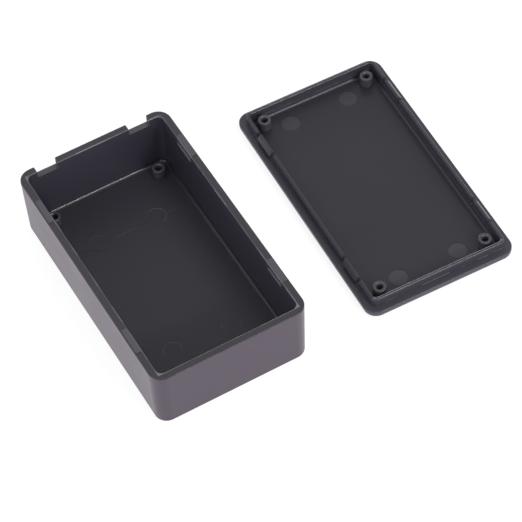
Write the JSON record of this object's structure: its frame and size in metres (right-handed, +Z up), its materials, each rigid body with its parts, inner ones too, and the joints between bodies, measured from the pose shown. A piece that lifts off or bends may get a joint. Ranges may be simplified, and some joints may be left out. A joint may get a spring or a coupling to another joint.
{
  "type": "plastic project box",
  "caption": "Small black plastic project box: deep open base with opening notches and hollow screw posts, and a snap-fit lid lying inside-up beside it.",
  "frame": {"origin": "middle of the base's underside, on the surface it stands on", "axes": "+X along the box, away from the notched end wall; +Y across, from the base towards the lid beside it; +Z up"},
  "size_m": [0.1016, 0.1397, 0.0255],
  "materials": {
    "base_plastic": "charcoal-black ABS, fine matt moulded texture outside, smoother satin inside",
    "lid_plastic": "charcoal-black ABS, satin inside, fine matt moulded texture outside"
  },
  "bodies": {
    "base_body": {"base": "base_plastic"},
    "lid_body": {"lid": "lid_plastic"}
  },
  "joints": [
    {"name": "lid_lift", "type": "slide", "parent": "base_body", "child": "lid_body", "axis": [0, 0, 1], "range_m": [0, 0.05]}
  ]
}
